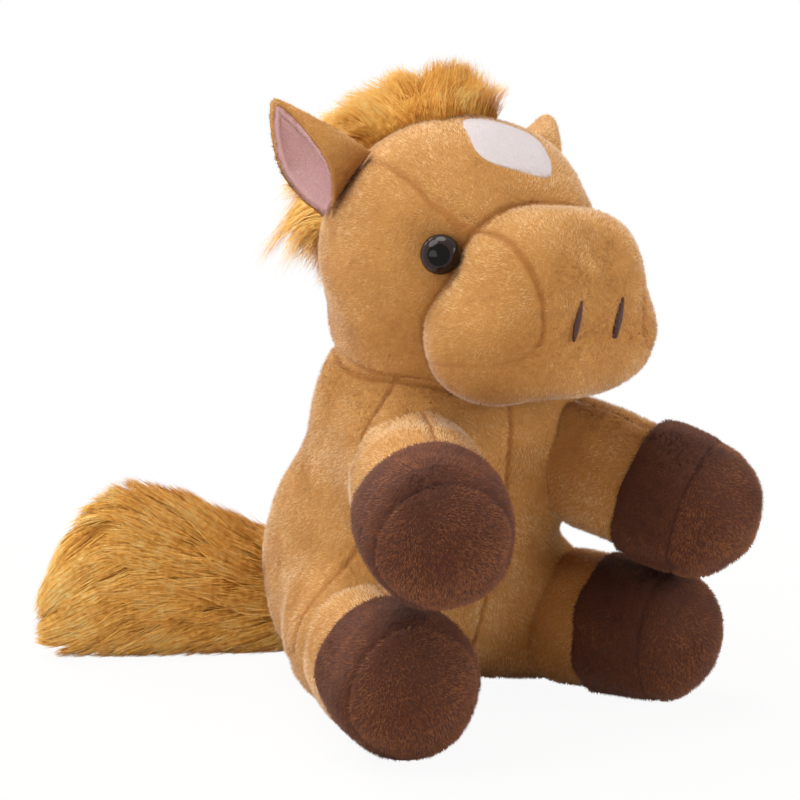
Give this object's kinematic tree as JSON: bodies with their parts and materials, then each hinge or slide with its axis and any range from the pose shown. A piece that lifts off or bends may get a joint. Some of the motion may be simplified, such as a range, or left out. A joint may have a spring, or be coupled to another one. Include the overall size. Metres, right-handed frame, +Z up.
{
  "type": "plush toy horse",
  "caption": "Sitting plush toy horse with a large head, upright ears, tufted mane, forward legs with brown hooves and a fan tail.",
  "frame": {"origin": "middle of the flat patch under the torso that the toy sits on", "axes": "+Z up, the face looks along -Y, the toy's own left is +X"},
  "size_m": [0.1298, 0.1657, 0.1685],
  "materials": {
    "tan_plush": "short soft pile, matt",
    "brown_plush": "short soft pile, matt",
    "white_plush": "short soft pile, matt",
    "pink_plush": "smooth short pile, matt",
    "gold_pile": "long tufted pile",
    "eye_plastic": "polished",
    "washer_plastic": "as moulded",
    "nostril_thread": "satin stitch",
    "filling_fibre": "loose fibre, packed",
    "pellet_sack": "plain weave"
  },
  "bodies": {
    "torso": {"belly_left": "tan_plush", "belly_right": "tan_plush", "pellet_bag": "pellet_sack", "torso_side_left": "tan_plush", "torso_side_right": "tan_plush", "torso_stuffing": "filling_fibre"},
    "neck": {"neck_stuffing": "filling_fibre"},
    "head": {"cheek_left": "tan_plush", "cheek_right": "tan_plush", "eye_left": "eye_plastic", "eye_right": "eye_plastic", "eye_washer_left": "washer_plastic", "eye_washer_right": "washer_plastic", "head_gusset": "tan_plush", "head_side_left": "tan_plush", "head_side_right": "tan_plush", "head_stuffing": "filling_fibre", "mane": "gold_pile", "muzzle_stuffing": "filling_fibre", "nose_panel": "tan_plush", "nostril_left": "nostril_thread", "nostril_right": "nostril_thread", "star_patch": "white_plush"},
    "ear_left": {"ear_back_left": "tan_plush", "ear_lining_left": "pink_plush"},
    "foreleg_left": {"foreleg_left_cuff": "brown_plush", "foreleg_left_inner": "tan_plush", "foreleg_left_outer": "tan_plush", "foreleg_left_sole": "brown_plush", "foreleg_left_stuffing": "filling_fibre"},
    "hindleg_left": {"hindleg_left_cuff": "brown_plush", "hindleg_left_inner": "tan_plush", "hindleg_left_outer": "tan_plush", "hindleg_left_sole": "brown_plush", "hindleg_left_stuffing": "filling_fibre"},
    "ear_right": {"ear_back_right": "tan_plush", "ear_lining_right": "pink_plush"},
    "foreleg_right": {"foreleg_right_cuff": "brown_plush", "foreleg_right_inner": "tan_plush", "foreleg_right_outer": "tan_plush", "foreleg_right_sole": "brown_plush", "foreleg_right_stuffing": "filling_fibre"},
    "hindleg_right": {"hindleg_right_cuff": "brown_plush", "hindleg_right_inner": "tan_plush", "hindleg_right_outer": "tan_plush", "hindleg_right_sole": "brown_plush", "hindleg_right_stuffing": "filling_fibre"},
    "tail": {"tail": "gold_pile"}
  },
  "joints": [
    {"name": "neck_turn", "type": "hinge", "parent": "torso", "child": "neck", "pos_m": [0, -0.02, 0.104], "axis": [0, 0, 1], "range_deg": [-25, 25], "stiffness_Nm_per_rad": 0.3},
    {"name": "neck_nod", "type": "hinge", "parent": "neck", "child": "head", "pos_m": [0, -0.02, 0.104], "axis": [-1, 0, 0], "range_deg": [-6, 8], "stiffness_Nm_per_rad": 0.8},
    {"name": "ear_left_flop", "type": "hinge", "parent": "head", "child": "ear_left", "pos_m": [0.02443, -0.02, 0.14506], "axis": [0.4248, 0.3932, -0.8154], "range_deg": [-10, 10], "stiffness_Nm_per_rad": 0.05},
    {"name": "ear_right_flop", "type": "hinge", "parent": "head", "child": "ear_right", "pos_m": [-0.02443, -0.02, 0.14506], "axis": [0.4248, -0.3932, 0.8154], "range_deg": [-10, 10], "stiffness_Nm_per_rad": 0.05},
    {"name": "foreleg_left_lift", "type": "hinge", "parent": "torso", "child": "foreleg_left", "pos_m": [0.021, -0.031, 0.0674], "axis": [-0.883, -0.4694, 0], "range_deg": [-1, 8], "stiffness_Nm_per_rad": 0.3},
    {"name": "foreleg_right_lift", "type": "hinge", "parent": "torso", "child": "foreleg_right", "pos_m": [-0.021, -0.031, 0.0674], "axis": [-0.8849, 0.4657, 0], "range_deg": [-3, 8], "stiffness_Nm_per_rad": 0.3},
    {"name": "hindleg_left_swing", "type": "hinge", "parent": "torso", "child": "hindleg_left", "pos_m": [0.028, -0.018, 0.0195], "axis": [0, 0, 1], "range_deg": [-8, 8], "stiffness_Nm_per_rad": 0.3},
    {"name": "hindleg_right_swing", "type": "hinge", "parent": "torso", "child": "hindleg_right", "pos_m": [-0.028, -0.018, 0.0195], "axis": [0, 0, -1], "range_deg": [-8, 8], "stiffness_Nm_per_rad": 0.3},
    {"name": "tail_swing", "type": "hinge", "parent": "torso", "child": "tail", "pos_m": [-0.004, 0.0375, 0.018], "axis": [0, 0, -1], "range_deg": [-5, 20], "stiffness_Nm_per_rad": 0.1}
  ]
}
